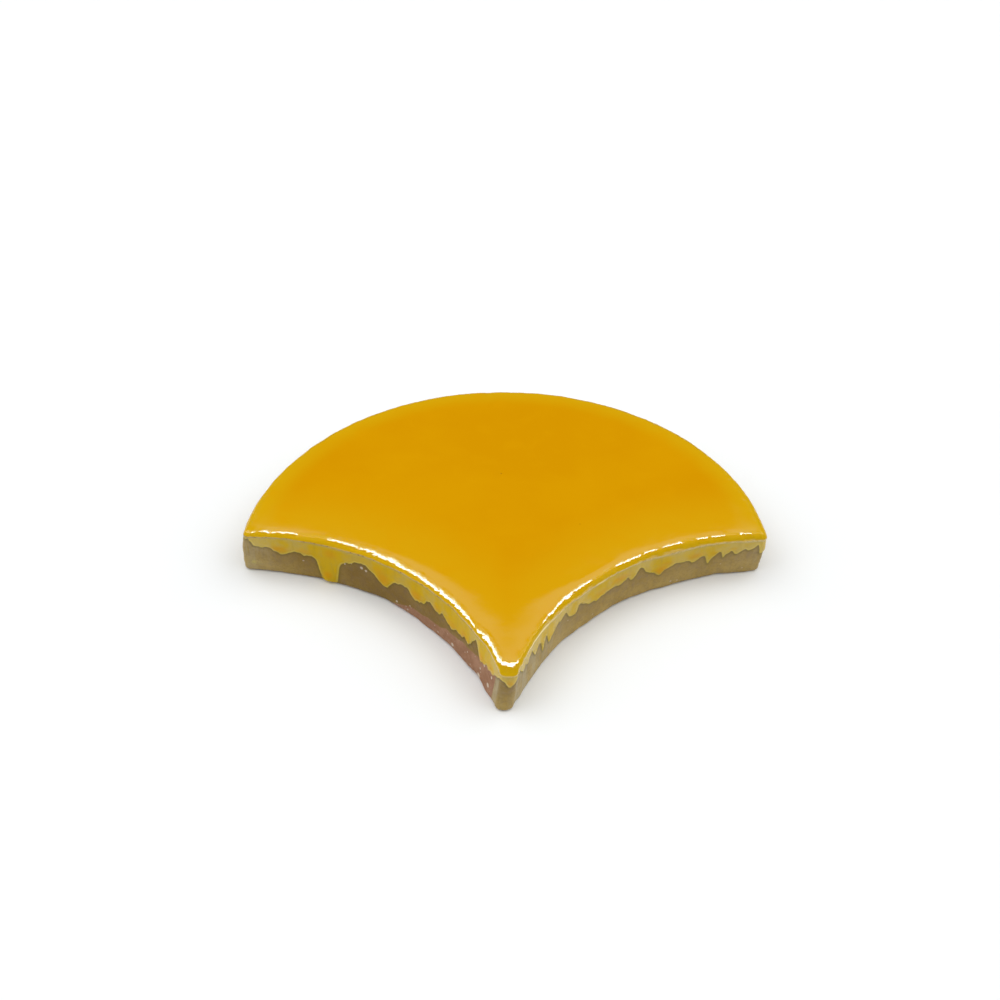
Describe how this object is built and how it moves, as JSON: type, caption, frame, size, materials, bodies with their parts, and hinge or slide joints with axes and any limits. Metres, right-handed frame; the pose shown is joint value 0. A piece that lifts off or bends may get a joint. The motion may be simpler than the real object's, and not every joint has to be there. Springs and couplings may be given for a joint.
{
  "type": "fish scale tile",
  "caption": "Fish-scale wall tile with a half-round crown, hollow flanks and a blunt nose; cushioned glazed face and flat back for bedding in nested rows.",
  "frame": {"origin": "centre of the tile's bounding rectangle, on the flat back", "axes": "+X across the width, +Y towards the half-round crown, +Z out of the glazed face"},
  "size_m": [0.1268, 0.1078, 0.0136],
  "materials": {
    "glazed_terracotta": "high-gloss amber-yellow glaze on the face, run down over olive-brown washed and bare red clay on the edges"
  },
  "bodies": {
    "root": {"fish_scale_tile": "glazed_terracotta"}
  },
  "joints": []
}
